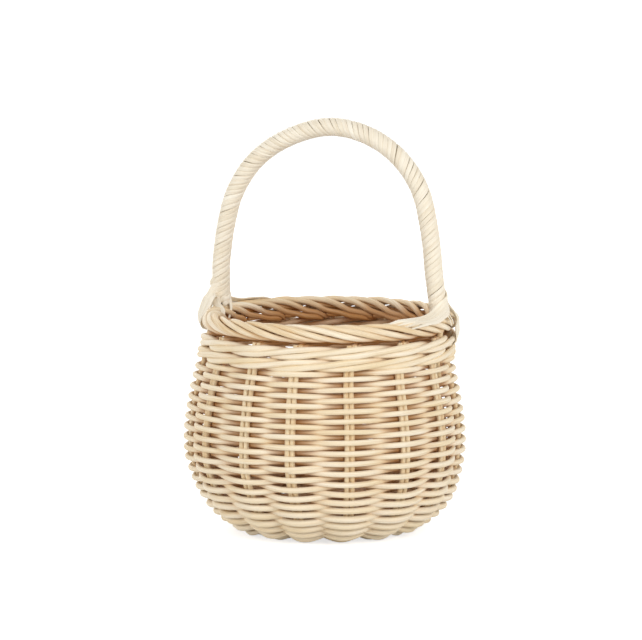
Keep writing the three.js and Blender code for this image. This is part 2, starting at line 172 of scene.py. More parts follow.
# At the end every second one runs on inside the rope, and the others along its underside
TUCK_LEAD = np.array([43.0, 47.0, 51.0, 55.0, 60.0, 66.0, 72.0, 77.0])
INSIDE_TURN = HALF_WAY_TURN - BORDER_LAY * TUCK_LEAD
INSIDE_OFF = np.array([3.55, 3.3, 2.7, 2.1, 1.7, 1.5, 1.5, 1.3])
UNDER_TURN = np.array([-415.0, -433.0, -449.0, -464.0, -476.0, -486.0, -490.0, -492.0])
UNDER_OFF = np.array([3.6, 3.8, 3.8, 3.9, 4.6, 5.8, 6.7, 6.8])
# The rods are thinner towards their ends, by the length that is left
THINNING = ([0, 6, 38, 52], [0.7, 0.82, 0.85, 1.0])
# Painted shade on the border: a strand is painted lighter where its side of the rope faces outwards and up,
# and darker where it faces in and down. Its depth is this much on the rope, and changes so many times as
# fast as its distance off the rope's centre line.
CENTRE_GUARD = 0.5
LIGHT_FROM_OUTSIDE = 0.55
LIGHT_FROM_ABOVE = 0.75
PAINTED_LIGHT_BY_FACING = ([-0.93, -0.75, -0.5, 0.3], [0.1, 0.3, 0.64, 1.0])
BORDER_DEPTH = 2.7
DEPTH_RATE = 2.0

# The base: the spiral of the wall goes on inwards, and its swing changes along the stake line. One more
# rod binds the cross, on a square with rounded corners that grows this much a round.
BASE_ROWS = 10
BASE_PITCH = 3.05
BASE_ROD = 3.3
BASE_SWINGS = ([17, 24, 40, 45], [2.2, 3.0, 2.9, 2.8])
BASE_TONE = 0.4
BINDING_ROD = 2.6
BINDING_ROUNDS = 2
BINDING_POINTS = 180
BINDING_REACH = 15.6
BINDING_GROWTH = 1.5
BINDING_LIFT = 3.4
BINDING_SLOPE = 1.9
BINDING_CORNER = 4.0

# The handle
BOW_LINE = [
    (-68.3, 128), (-66.5, 150), (-63.4, 172), (-57, 193), (-43.8, 211.3), (-24, 224.4), (3, 231.8),
    (27.5, 227.3), (46.3, 215.3), (58.5, 198.5), (64.4, 176), (67.2, 152), (68.4, 130),
]
BOW_RADIUS = 3.4
BOW_TIP_RADIUS = 1.5
BOW_TAPER_TOP = 128.0
BOW_TAPER_END = 114.0
BOW_DEPTH = 26.0
BOW_SIDES = 16
BOW_POINTS = 260
ROPING_STRANDS = 6
ROPING_LEAD = 19.5
ROPING_WIDTH = 2.78
ROPING_THICKNESS = 0.95
ROPING_CROWN = 0.25
ROPING_RADIUS = 4.78
ROPING_BOTTOM = 127.0
ROPING_TURN_POINTS = 26
ROPING_TONES = (0.35, 0.8)

# The tails of the cane at each foot, strands laid side by side. The outer one goes down over the border's
# outer side, and the inner one the other way round the basket, along the border's top. A row is how far
# past the foot it is in degrees, how far out from the feet's ring, how high above the border's centre
# line, and then which way the strands face: outwards, along and up.
TAIL_PITCH = 2.3
TAIL_OVERLAP = 0.1
TAIL_THICKNESS = 0.95
TAIL_CROWN = 0.2
TAIL_END_SPREAD = 0.75
TAIL_TONES = (0.45, 0.8)
TAIL_RISES = (-0.06, 0.1)
OUTER_STRANDS = 5
OUTER_TAILS = {
    "left": [
        (4.4, 2.0, 12.2, 0.35, 0.94, 0),
        (7.0, 4.1, 9.6, 0.4, 0.91, 0.1),
        (9.4, 5.4, 6.2, 0.5, 0.85, 0.15),
        (11.2, 6.6, 3.0, 0.65, 0.75, 0.1),
        (12.3, 7.3, -0.2, 0.8, 0.6, 0),
        (13.7, 6.6, -3.3, 0.75, 0.5, -0.4),
        (15.2, 4.6, -5.5, 0.45, 0.25, -0.85),
        (16.7, 2.2, -6.4, 0.1, 0, -1),
        (18.2, 0.0, -6.4, -0.1, 0, -1),
    ],
    "right": [
        (4.4, 0.6, 10.6, 0.1, 1, 0),
        (7.0, 2.6, 8.4, 0.5, 0.7, 0.5),
        (9.5, 4.4, 5.6, 0.75, 0.25, 0.6),
        (12.0, 5.4, 1.4, 1, 0, 0.15),
        (13.5, 5.6, -3.4, 1, 0, 0),
        (14.5, 5.6, -8.0, 1, 0, 0),
        (15.5, 4.2, -11.5, 1, 0, -0.1),
        (16.5, 2.2, -14.0, 1, 0, -0.2),
    ],
}
INNER_STRANDS = 4
# How many steps short of the route's end each strand of the inner tail is
INNER_ENDS = (1, 7, 14, 20)
INNER_TAIL = [
    (-6.0, 3.4, 7.6, 0.5, -0.5, 0.7),
    (-10.5, 2.8, 5.6, 0.55, -0.1, 0.83),
    (-16.0, 2.2, 4.9, 0.45, 0, 0.9),
    (-24.0, 1.9, 4.9, 0.4, 0, 0.92),
    (-32.0, 1.5, 4.8, 0.35, 0, 0.94),
    (-41.0, 0.9, 4.7, 0.25, 0, 0.97),
]
# By the steps that are left to a strand's end: how wide it is, and how far an inner one sinks in
TAIL_WIDTHS = ([0, 12], [0.4, 1.0])
INNER_SINKING = ([0, 8, 14], [2.6, 1.0, 0.0])
# A tail leaves the leg at this height above the border's centre line. Before that it winds down the leg,
# past these turns, counted down to the turn where it leaves, and so far off the roping's radius. Where it
# leaves, the outer one faces along the border, and the inner one is so many degrees short of that.
LEAVE_HEIGHT = 10.6
LEAVE_TURN = 10
OUTER_LEAVES = 0.0
INNER_LEAVES = 60.0
LEG_TURNS = ((140.0, -0.6), (100.0, -0.2), (60.0, 0.4))
# Short ends of cane at each foot, with their widths: two down the border's inner side and two down its
# outer side
FOOT_ENDS = [
    (
        [(4.6, 1.2, 9.6), (6, 0.2, 7.2), (7.6, -1, 5.6), (9, -2.8, 4.9), (10.5, -4.6, 3.4), (12, -5.6, 0.8)],
        5.4,
    ),
    ([(-0.5, -4.9, 9.0), (0.6, -5.9, 4.0), (2.0, -6.1, 0.5), (3.0, -5.6, -3.0)], 2.2),
    ([(1.0, 3.8, 8.0), (3.0, 5.2, 4.6), (4.4, 6.2, 1.0)], 2.6),
    ([(-0.5, 4.2, 7.6), (0.6, 5.6, 4.0), (1.6, 6.3, 0.0)], 2.4),
]
FOOT_END_THICKNESS = 0.9
FOOT_END_CROWN = 0.1
FOOT_END_TIP = 0.6
FOOT_END_TILT = 0.4
FOOT_END_TONE = 0.8

# Woven by hand, the basket isn't quite true: its rings are a little off centre at these heights
LEAN_TOWARD = 25.0
LEAN_HEIGHTS = (0, 10, 20, 30, 45, 90, 104, 112, 125, 138, 150, 240)
LEAN_SHIFTS = (1.2, 1.6, 1.6, 0.9, 0.1, 0.1, 1.0, 2.7, 3.1, 1.6, 0.6, 0.3)

# Painted shade: how light the rattan is painted, from 0 (the painted shade colour) to 1, by how far
# outside the middle of the wall it lies; darkest between the rods behind the stakes, where shade falls
PAINTED_SHADE_DEPTHS = (-4.6, -3.2, -1.5, 0.0, 1.4, 3.0, 4.2)
PAINTED_LIGHT_SHARES = (0.4, 0.25, 0.12, 0.52, 0.86, 0.97, 1.0)
# How far outside the stakes lie by this measure, and a strand that nothing covers
STAKE_DEPTH = 1.1
OPEN_DEPTH = 4.0
# The edge of a rod's cut end is this far past the end of its path, and this share of its width
CUT_BEVEL = 0.12
CUT_SHARE = 0.82
# Each strand's grain starts anywhere on this length of rod
GRAIN_LENGTH = 900

# The finish. Colours are sRGB bytes, and a rod's colour goes from its deep to its pale one by a share.
# The share is the sum of the rod's own tone, tan patches, fine fibres and broader streaks.
# The colour of painted shade, in the crevices of the weave and on the rope's inner and lower sides
PAINTED_SHADE_COLOUR = (184, 124, 60)
TONE_REACH = 0.3
PATCH_SHARES = (0.12, 0.88)
FIBRE_REACH = 0.5
STREAK_REACH = 0.35
# How far the streaks move the edge of the painted shade
PAINTED_SHADE_STREAK_REACH = 0.12
# The noises: how many waves a millimetre two ways across the rod and along it, and how fine the detail is
FIBRES = ((3.2, 3.2, 0.09), 4.0)
STREAKS = ((1.3, 1.3, 0.03), 2.0)
PATCHES = ((0.12, 0.12, 0.022), 2.0)
SPECKS = ((7.0, 7.0, 0.9), 1.0)
NOISE_ROUGHNESS = 0.6
# The middle part of a noise's values, which is spread over the whole range, and the part that is pores
NOISE_RANGE = (0.3, 0.7)
PORE_RANGE = (0.66, 0.74)
PORE_SHADE = 0.45
PORE_DEPTH = 0.8
ROUGHNESS_REACH = 0.08
RELIEF_DEPTH = 0.00012
SPECULAR_LEVEL = 0.35

# The stage, in metres, with the strength of what the camera sees and of what lights the basket
FLOOR_HALF = 30.0
FLOOR_COLOUR = (0.8, 0.8, 0.8, 1)
FLOOR_GLOW = 0.68
WHITE = (1, 1, 1, 1)
AMBIENT = 0.58
CAMERA_AZIMUTH = 25.0
CAMERA_ELEVATION = 7.25
CAMERA_DISTANCE = 2.5
CAMERA_AIM_HEIGHT = 0.121
CAMERA_AIM_LEFT = 0.0021
CAMERA_CLIP = (0.05, 100)
SENSOR_WIDTH = 36
FOCAL_LENGTH = 245.3
# The lamps: how far to the right, towards the camera and up from the middle each stands, and its power
LAMPS = (("key", 1.2, 1.6, 0.7, 19), ("fill", -1.7, 1.0, 0.3, 13), ("back", -0.6, -1.6, 1.0, 9))
LAMP_SIZE = 1.5
LAMP_AIM_HEIGHT = 0.1


def smooth(t):
    """Eases from 0 to 1 as t does."""
    t = np.clip(t, 0.0, 1.0)
    return t * t * (3 - 2 * t)


def unit(v):
    return v / np.maximum(np.linalg.norm(v, axis=-1, keepdims=True), TINY)


def curve_through(points, steps):
    """A centripetal Catmull-Rom curve through the points, with so many steps from each to the next."""
    points = np.array(points, float)
    p = np.vstack([2 * points[0] - points[1], points, 2 * points[-1] - points[-2]])
    u = np.linspace(0, 1, steps, endpoint=False)[:, None]
    pieces = []
    for i in range(1, len(p) - 2):
        p0, p1, p2, p3 = p[i - 1 : i + 3]
        d0, d1, d2 = (math.sqrt(np.linalg.norm(b - a)) for a, b in ((p0, p1), (p1, p2), (p2, p3)))
        t1 = ((p1 - p0) / d0 - (p2 - p0) / (d0 + d1) + (p2 - p1) / d1) * d1
        t2 = ((p2 - p1) / d1 - (p3 - p1) / (d1 + d2) + (p3 - p2) / d2) * d1
        pieces.append(p1 + t1 * u + (3 * (p2 - p1) - 2 * t1 - t2) * u**2 + (2 * (p1 - p2) + t1 + t2) * u**3)
    pieces.append(points[-1:])
    return np.vstack(pieces)


def lengths_along(path):
    return np.concatenate([[0.0], np.cumsum(np.linalg.norm(np.diff(path, axis=0), axis=1))])


def resampled(path, step):
    """The same path with points about step apart."""
    along = lengths_along(path)
    places = np.linspace(0, along[-1], max(3, int(round(along[-1] / step)) + 1))
    return np.stack([np.interp(places, along, path[:, k]) for k in range(path.shape[1])], axis=1)


stake_curve = curve_through(STAKE_LINE, steps=80)
stake_along = lengths_along(stake_curve)
STAKE_LENGTH = stake_along[-1]
stake_tangent = unit(np.gradient(stake_curve, stake_along, axis=0))
WALE_START = STAKE_LENGTH - WALE_ROUNDS * 2 * WALE_PITCH
WALL_START = WALE_START - WALL_ROWS * ROW_PITCH


def beside_stake_line(distance, offset):
    """Radius and height at a distance along the stake line and an offset to its outer side, and the
    outward direction there."""
    r, z, tr, tz = (
        np.interp(distance, stake_along, column)
        for column in (*stake_curve.T, *stake_tangent.T)
    )
    over = np.maximum(np.asarray(distance) - STAKE_LENGTH, 0)
    return r + tr * over + offset * tz, z + tz * over - offset * tr, tz, -tr


def polar(r, degrees, z):
    a = np.radians(degrees)
    return np.stack(np.broadcast_arrays(r * np.cos(a), r * np.sin(a), z), axis=-1).astype(float)


pair_drift = RNG.uniform(-UNEVEN_PAIRS, UNEVEN_PAIRS, PAIRS)
pair_drift[list(SEEN_DRIFTS)] = list(SEEN_DRIFTS.values())


def pair_angle(k):
    """The angle at column k, which is that of pair k where k is whole."""
    k = np.asarray(k, float)
    whole = np.floor(k).astype(int)
    here = pair_drift[whole % PAIRS]
    there = pair_drift[(whole + 1) % PAIRS]
    return FIRST_PAIR + PAIR_STEP * k + here + (there - here) * smooth(k - whole)


def wander(count, every, size):
    """A slow random line of that many points, with a new value about every so many points."""
    knots = RNG.normal(0, size, int(count / every) + 4)
    places = np.arange(count) / every + 1
    whole = places.astype(int)
    return knots[whole] + (knots[whole + 1] - knots[whole]) * smooth(places - whole)


def round_section(diameter, sides=ROD_SIDES):
    turn = np.arange(sides) * 2 * np.pi / sides
    return np.stack([np.sin(turn), np.cos(turn)], axis=1) * diameter / 2


def flat_section(width, thickness, crown):
    """A strip with a flat back, rounded edges and a slightly crowned face. The points are shares of half
    the width and half the thickness."""
    right = [(0.5, -1), (0.86, -1), (1, -0.35), (0.97, 0.3), (0.8, 1 - crown), (0.42, 1 - crown * 0.2)]
    left = [(-x, y) for x, y in reversed(right)]
    outline = np.array([*right, (0, 1), *left, (0, -1)])
    return (outline * (width / 2, thickness / 2))[::-1]


def strand(path, outward, section, scale=1.0, tone=0.5, depth=OPEN_DEPTH, painted_lighting=1.0):
    """A tube of sections along a path. Each vertex also keeps where it lies on the straight rod, so that
    the grain runs along every rod with no seam. outward is the direction that the section's second axis
    faces, at each point of the path, depth is how far outside the middle of the wall the path is there,
    which sets how much painted shade it gets, and bare is how much painted light it gets."""
    path = np.asarray(path, float)
    along = lengths_along(path)
    tangent = unit(np.gradient(path, axis=0))
    outward = np.broadcast_to(np.asarray(outward, float), path.shape)
    face = unit(outward - (outward * tangent).sum(1, keepdims=True) * tangent)
    side = np.cross(tangent, face)
    scale = np.broadcast_to(np.asarray(scale, float), (len(path),))
    depth = np.broadcast_to(np.asarray(depth, float), (len(path),))
    painted_lighting = np.broadcast_to(np.asarray(painted_lighting, float), (len(path),))
    start = RNG.uniform(0, GRAIN_LENGTH)
    rings, places, painted_lights = [], [], []

    def ring(i, push, shrink):
        flat = section * scale[i] * shrink
        rings.append(path[i] + tangent[i] * push + flat[:, :1] * side[i] + flat[:, 1:] * face[i])
        places.append(np.column_stack([flat, np.full(len(section), start + along[i] + push)]))
        # Painted shade: darker towards the middle of the wall and behind the stakes, where shade falls
        painted_lights.append(painted_lighting[i] * np.interp(depth[i] + flat[:, 1], PAINTED_SHADE_DEPTHS, PAINTED_LIGHT_SHARES))

    ring(0, -CUT_BEVEL, CUT_SHARE)
    for i in range(len(path)):
        ring(i, 0.0, 1.0)
    ring(len(path) - 1, CUT_BEVEL, CUT_SHARE)
    m = len(section)
    grid = np.arange(len(rings) * m).reshape(len(rings), m)
    faces = np.stack([grid[:-1], np.roll(grid[:-1], -1, 1), np.roll(grid[1:], -1, 1), grid[1:]], axis=-1)
    caps = [grid[0][::-1].tolist(), grid[-1].tolist()]
    points = np.vstack(rings)
    faces = faces.reshape(-1, 4).tolist() + caps
    return points, faces, np.vstack(places), np.full(len(points), tone), np.concatenate(painted_lights)


def leaned(points):
    shift = np.interp(points[:, 2], LEAN_HEIGHTS, LEAN_SHIFTS)
    return points + shift[:, None] * polar(1.0, LEAN_TOWARD, 0.0)


def make_piece(name, strands, material, nodes):
    """One object from its strands. It stands for the CAD nodes, and rides on the basket's one body."""
    faces = []
    first = 0
    for points, polygons, _, _, _ in strands:
        faces += [[corner + first for corner in polygon] for polygon in polygons]
        first += len(points)
    points, _, places, tones, painted_lights = zip(*strands)
    mesh = bpy.data.meshes.new(name)
    mesh.from_pydata((leaned(np.vstack(points)) * MM).tolist(), [], faces)
    mesh.attributes.new("rod", "FLOAT_VECTOR", "POINT").data.foreach_set(
        "vector", np.vstack(places).astype(np.float32).ravel()
    )
    # Besides the rod's place and tone, each vertex keeps its share of painted light against painted shade
    for kept, values in (("tone", tones), ("painted_light", painted_lights)):
        mesh.attributes.new(kept, "FLOAT", "POINT").data.foreach_set(
            "value", np.concatenate(values).astype(np.float32)
        )
    mesh.polygons.foreach_set("use_smooth", np.ones(len(faces), bool))
    mesh.update()
    mesh.materials.append(material)
    piece = bpy.data.objects.new(name, mesh)
    bpy.context.scene.collection.objects.link(piece)
    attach(piece, "root")
    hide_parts(*nodes)


def add_node(tree, kind, **settings):
    made = tree.nodes.new(kind)
    for key, value in settings.items():
        setattr(made, key, value)
    return made


def ranged(tree, value, low, high, to_low=0.0, to_high=1.0):
    """The value, spread from one range to another."""
    made = add_node(tree, "ShaderNodeMapRange")
    tree.links.new(value, made.inputs["Value"])
    for socket, number in zip(("From Min", "From Max", "To Min", "To Max"), (low, high, to_low, to_high)):
        made.inputs[socket].default_value = number
    return made.outputs["Result"]


def combined(tree, operation, a, b):
    """A sum or the like of two outputs, or of an output and a number."""
    made = add_node(tree, "ShaderNodeMath", operation=operation)
    tree.links.new(a, made.inputs[0])
    if isinstance(b, float):
        made.inputs[1].default_value = b
    else:
        tree.links.new(b, made.inputs[1])
    return made.outputs[0]


def mixed(tree, share, below, above):
    """A colour from below to above by the share. Each is a colour or an output."""
    made = add_node(tree, "ShaderNodeMix", data_type="RGBA")
    tree.links.new(share, made.inputs["Factor"])
    for socket, colour in (("A", below), ("B", above)):
        if isinstance(colour, tuple):
            made.inputs[socket].default_value = colour
        else:
            tree.links.new(colour, made.inputs[socket])
    return made.outputs["Result"]


def linear(red, green, blue, shade=1.0):
    """A shader's colour from sRGB bytes, darker by the shade."""
    parts = (((c / 255 + 0.055) / 1.055) ** 2.4 if c > 10 else c / 255 / 12.92 for c in (red, green, blue))
    return (*(part * shade for part in parts), 1)


def rattan(name, pale, deep, roughness=0.55, grain=0.5, pores=0.35, bump=0.5):
    """Rattan: long fine grain, small pores and slow changes of tone along the rod. It takes a painted shade
    colour where the painted light share is low, in crevices and on shaded sides."""
    material = bpy.data.materials.new(name)
    material.use_nodes = True
    tree = material.node_tree
    shader = tree.nodes["Principled BSDF"]
    rod = add_node(tree, "ShaderNodeAttribute", attribute_name="rod")
    tone = add_node(tree, "ShaderNodeAttribute", attribute_name="tone")
    painted_light = add_node(tree, "ShaderNodeAttribute", attribute_name="painted_light")

    def stretched(scale, detail):
        """Noise that is drawn out along the rod."""
        place = add_node(tree, "ShaderNodeVectorMath", operation="MULTIPLY")
        tree.links.new(rod.outputs["Vector"], place.inputs[0])
        place.inputs[1].default_value = scale
        noise = add_node(tree, "ShaderNodeTexNoise")
        noise.inputs["Scale"].default_value = 1.0
        noise.inputs["Detail"].default_value = detail
        noise.inputs["Roughness"].default_value = NOISE_ROUGHNESS
        tree.links.new(place.outputs[0], noise.inputs["Vector"])
        return noise.outputs["Fac"]

    def spread(noise, low, high):
        return ranged(tree, noise, *NOISE_RANGE, low, high)

    fibres = stretched(*FIBRES)
    streaks = stretched(*STREAKS)
    patches = stretched(*PATCHES)
    specks = stretched(*SPECKS)
    share = ranged(tree, tone.outputs["Fac"], 0.0, 1.0, -TONE_REACH, TONE_REACH)
    share = combined(tree, "ADD", share, spread(patches, *PATCH_SHARES))
    share = combined(tree, "ADD", share, spread(fibres, -FIBRE_REACH * grain, FIBRE_REACH * grain))
    share = combined(tree, "ADD", share, spread(streaks, -STREAK_REACH * grain, STREAK_REACH * grain))
    ramp = add_node(tree, "ShaderNodeValToRGB")
    ramp.color_ramp.elements[0].color = linear(*deep)
    ramp.color_ramp.elements[1].color = linear(*pale)
    tree.links.new(share, ramp.inputs["Fac"])
    # Painted shade: the pale colours give way to the painted shade colour by the vertices' painted light
    # share
    painted_lit_share = combined(tree, "ADD", painted_light.outputs["Fac"], spread(streaks, -PAINTED_SHADE_STREAK_REACH, PAINTED_SHADE_STREAK_REACH))
    painted_lit_share = ranged(tree, painted_lit_share, 0.0, 1.0)
    colour = mixed(tree, painted_lit_share, linear(*PAINTED_SHADE_COLOUR), ramp.outputs["Color"])
    pore = ranged(tree, specks, *PORE_RANGE, 0.0, pores)
    colour = mixed(tree, pore, colour, linear(*deep, PORE_SHADE))
    tree.links.new(colour, shader.inputs["Base Color"])
    dullness = spread(fibres, roughness + ROUGHNESS_REACH, roughness - ROUGHNESS_REACH)
    tree.links.new(dullness, shader.inputs["Roughness"])
    relief = add_node(tree, "ShaderNodeBump")
    relief.inputs["Strength"].default_value = bump
    relief.inputs["Distance"].default_value = RELIEF_DEPTH
    height = combined(tree, "SUBTRACT", fibres, combined(tree, "MULTIPLY", pore, PORE_DEPTH))
    tree.links.new(height, relief.inputs["Height"])
    tree.links.new(relief.outputs["Normal"], shader.inputs["Normal"])
    shader.inputs["Specular IOR Level"].default_value = SPECULAR_LEVEL
    return material


WEAVE = rattan("woven_rattan", (251, 239, 217), (240, 219, 179))
STAKE = rattan("stake_rattan", (250, 236, 204), (232, 202, 154))
BORDER = rattan("border_rattan", (252, 239, 214), (231, 202, 156), roughness=0.5)
CANE = rattan(
    "flat_cane", (251, 243, 226), (235, 222, 196), roughness=0.42, grain=0.3, pores=0.15, bump=0.3
)
BOW = rattan("bow_cane", (238, 220, 184), (208, 178, 130), roughness=0.5)


def round_the_bow(k, distance):
    """The columns with the bow's ends in mind: high up, a rod keeps to one side of the wall while it
    passes them."""
    whole = np.floor(k)
    part = k - whole
    place = whole % PAIRS
    high = distance > STAKE_LENGTH - BOW_DEPTH - ROD
    swing_share = 1 - BOW_SHARE
    part = np.where(high & (place == BOW_EARLY_PAIR), np.clip((part - BOW_SHARE) / swing_share, 0, 1), part)
    part = np.where(high & (place == BOW_LATE_PAIR), np.clip(part / swing_share, 0, 1), part)
    return whole + part


def weave_wall():
    """One rod after another goes round as a spiral, in front of a pair and then behind the next."""
    columns_per_mm = PAIRS / ROW_PITCH
    joins = [FIRST_COLUMN + ROD_COLUMNS * rod for rod in range(WEAVER_RODS)] + [WEAVE_LAST]
    for rod in range(WEAVER_RODS):
        start = joins[rod] - (0 if rod == 0 else JOIN_OVERLAP)
        end = joins[rod + 1] + (0 if rod == WEAVER_RODS - 1 else JOIN_OVERLAP)
        tuck = 0.0 if rod in (FRAYED_ROD, WEAVER_RODS - 1) else JOIN_TUCK
        if rod == FRAYED_ROD:
            end = FRAYED_JOIN + FRAYED_PAST
        if rod == FRAYED_ROD + 1:
            start = FRAYED_JOIN - FRAYED_BEFORE
        k = np.linspace(start, end, int((end - start) * COLUMN_STEPS) + 1)
        distance = WALE_START - BEHIND_BELOW_WALE + (k - BEHIND_PAIR) / columns_per_mm
        lift = smooth((k - WEAVE_LAST + LIFT_ROWS_BELOW * PAIRS) / (LIFT_ROWS * PAIRS))
        distance = distance + WEAVE_LIFT * lift
        swing = WEAVE_SWING + np.interp(distance - WALL_START, *SWING_BY_HEIGHT)
        sway = -swing * np.cos(np.pi * (round_the_bow(k, distance) - BEHIND_PAIR))
        distance = distance + wander(len(k), every=COLUMN_STEPS, size=0.13)
        distance = distance + wander(len(k), every=4 * COLUMN_STEPS, size=0.1)
        near_start = smooth(1 - (k - start) / JOIN_REACH)
        near_end = smooth(1 - (end - k) / JOIN_REACH)
        sway = sway - tuck * near_end
        frayed = near_end * (rod == FRAYED_ROD) - near_start * (rod == FRAYED_ROD + 1)
        distance = distance + FRAYED_STEP * frayed
        angle = pair_angle(k)
        at_back = np.clip(2 * np.cos(np.radians(angle - BACK_ANGLE)), 0, 1)
        height = distance - WALL_START
        tilt = np.interp(height, *TILT_BY_HEIGHT) - np.interp(height, *BACK_TILT_BY_HEIGHT) * at_back
        distance = distance + TILT * tilt * sway
        r, z, out_r, out_z = beside_stake_line(distance, sway)
        scale = 1 + wander(len(k), every=3 * COLUMN_STEPS, size=0.025)
        scale = scale + np.interp(distance - WALL_START, *THICKNESS_BY_HEIGHT)
        scale = scale * (1 - FRAYED_THINNING * np.abs(frayed))
        piece = strand(
            polar(r, angle, z), polar(out_r, angle, out_z), round_section(ROD), scale,
            tone=RNG.uniform(*WEAVE_TONES), depth=sway,
        )
        make_piece(f"woven_rod_{rod + 1}", [piece], WEAVE, [f"weaver_{rod + 1}"])


def periodic(phase, values):
    """A smooth line through the values at the half steps of a phase that repeats."""
    place = (phase % WALE_RODS) * 2
    i = np.floor(place).astype(int)
    t = place - i
    a, b, c, d = (values[(i + n) % len(values)] for n in (-1, 0, 1, 2))
    return b + 0.5 * t * (c - a + t * (2 * a - 5 * b + 4 * c - d + t * (3 * (b - c) + d - a)))


def weave_wale():
    for level in range(WALE_ROUNDS):
        rods = []
        for rod in range(WALE_RODS):
            start = WALE_FIRST + rod * WALE_STAGGER
            end = WALE_FIRST + PAIRS + WALE_OVERLAP + rod * WALE_STAGGER
            k = np.linspace(start, end, (PAIRS + 1) * COLUMN_STEPS)
            phase = k - rod - level
            sag = np.interp((WEAVE_LAST - k) % PAIRS, SAG_COLUMNS, SAGS[level])
            distance = WALE_START + level * 2 * WALE_PITCH + WALE_PITCH * periodic(phase, WALE_UP)
            distance = distance + wander(len(k), every=COLUMN_STEPS, size=0.12) - sag
            sway = periodic(phase, WALE_OUT)
            r, z, out_r, out_z = beside_stake_line(distance, sway)
            angle = pair_angle(k)
            scale = 1 + wander(len(k), every=3 * COLUMN_STEPS, size=0.03)
            rods.append(strand(
                polar(r, angle, z), polar(out_r, angle, out_z), round_section(WALE_ROD), scale,
                tone=RNG.uniform(*WALE_TONES), depth=sway,
            ))
        make_piece(f"waling_{level + 1}", rods, WEAVE, [f"wale_round_{level + 1}"])


def end_line(end):
    """The line of a rod's end, from the top of the wall down to where the spokes leave the cross."""
    pair, second = divmod(end, 2)
    side = PAIR_SPREAD if second else -PAIR_SPREAD
    distance = np.linspace(STAKE_LENGTH - STAKE_END_GAP, SPOKE_START, STAKE_POINTS)
    r, z, out_r, out_z = beside_stake_line(distance, 0.0)
    angle = float(pair_angle(pair))
    across = polar(1.0, angle + 90, 0.0)
    wobble = wander(len(distance), every=12, size=0.12)
    return polar(r, angle, z) + across * (side + wobble)[:, None], polar(out_r, angle, out_z)


def cross_angle():
    """The way that the long rods of the cross lie, which is the middle of their ends on one side."""
    return FIRST_PAIR + PAIR_STEP * (LONG_RODS / 2 - 1) / 2


def lay_stakes():
    """Each rod goes down one side, over the base and up the other side, and its ends are two stakes."""
    middle = STAKE_LINE[0][1]
    bend_steps = 14
    for rod in range(LONG_RODS + CROSS_RODS):
        if rod < LONG_RODS:
            angle = cross_angle()
            aside = (rod - (LONG_RODS - 1) / 2) * CROSS_PITCH
            height = middle + CROSS_LAYER
            last = 2 * LONG_RODS + CROSS_RODS - 1 - rod
        else:
            angle = cross_angle() + 90
            aside = (rod - LONG_RODS - (CROSS_RODS - 1) / 2) * CROSS_PITCH
            height = middle - CROSS_LAYER
            last = 2 * (LONG_RODS + CROSS_RODS) - 1 - (rod - LONG_RODS)
        down, out = end_line(rod)
        up, out_up = (line[::-1] for line in end_line(last))
        cross = [
            polar(reach, angle, height) + polar(aside, angle + 90, 0.0)
            for reach in (CROSS_HALF, 0.0, -CROSS_HALF)
        ]
        bend = curve_through([down[-3], down[-1], *cross, up[0], up[2]], bend_steps)
        inner = bend[bend_steps + 1 : -bend_steps - 1]
        path = np.vstack([down, inner, up])
        facing = np.vstack([out, np.tile([0.0, 0.0, -1.0], (len(inner), 1)), out_up])
        tone = RNG.uniform(*STAKE_TONES)
        piece = strand(path, facing, round_section(STAKE_ROD), tone=tone, depth=STAKE_DEPTH)
        make_piece(f"stake_{rod + 1}", [piece], STAKE, [f"stake_rod_{rod + 1}"])


def border_path(end):
    """The way of a stake's end, which leans to the right as it leaves the wale, climbs up inside the
    border, comes over the top, goes down the outer side and is tucked in."""
    pair, second = divmod(end, 2)
    home = float(pair_angle(pair)) + math.degrees((PAIR_SPREAD if second else -PAIR_SPREAD) / BORDER_RING)
    spacing = 360.0 / (2 * PAIRS)
    faces_out = BORDER_CREST + spacing * (end + FIRST_END_STRAND) + RNG.uniform(*STRAND_SHIFTS)
    core = BORDER_CORE + RNG.uniform(*CORE_CHANGES) + wander(len(ROLL_LEAD), every=3, size=0.1)
    step_lead, step_turn, step_off = LONG_STEP_IN if second else STEP_IN
    tuck_turn, tuck_off = (INSIDE_TURN, INSIDE_OFF) if second else (UNDER_TURN, UNDER_OFF)
    lead = np.concatenate([CLIMB_LEAD, ROLL_LEAD, TUCK_LEAD])
    phi = np.concatenate([home + np.array(step_lead), faces_out - HALF_WAY_BEFORE + lead])
    turn = np.concatenate([step_turn, CLIMB_TURN, HALF_WAY_TURN - BORDER_LAY * ROLL_LEAD, tuck_turn])
    off = np.concatenate([step_off, CLIMB_OFF, core, tuck_off])
    out = off * np.cos(np.radians(turn))
    up = off * np.sin(np.radians(turn))
    # The first two points are still in line with the stake
    out[:2] += FOOT_RING - BORDER_RING
    control = polar(BORDER_RING + out, phi, BORDER_HEIGHT + up)
    return resampled(curve_through(control, steps=10), step=1.2)


def border_centre(path):
    """The points of the border's centre line beside those of a path."""
    ring = np.degrees(np.arctan2(path[:, 1], path[:, 0]))
    return polar(BORDER_RING, ring, BORDER_HEIGHT)


def roll_border():
    rods = []
    for end in range(2 * PAIRS):
        path = border_path(end)
        centre = border_centre(path)
        to_end = lengths_along(path)[-1] - lengths_along(path)
        scale = (1 + wander(len(path), every=14, size=0.035)) * np.interp(to_end, *THINNING)
        off = np.linalg.norm(path - centre, axis=1)
        out = np.hypot(path[:, 0], path[:, 1]) - BORDER_RING
        # Painted shade: the rope's inner and lower sides are painted darker, as if lit from outside and
        # above
        lit = out * LIGHT_FROM_OUTSIDE + (path[:, 2] - BORDER_HEIGHT) * LIGHT_FROM_ABOVE
        rods.append(strand(
            path, unit(path - centre), round_section(BORDER_ROD), scale, tone=RNG.uniform(*BORDER_TONES),
            depth=BORDER_DEPTH + DEPTH_RATE * (off - BORDER_CORE),
            painted_lighting=np.interp(lit / np.maximum(off, CENTRE_GUARD), *PAINTED_LIGHT_BY_FACING),
        ))
    make_piece("rolled_border", rods, BORDER, ["border"])


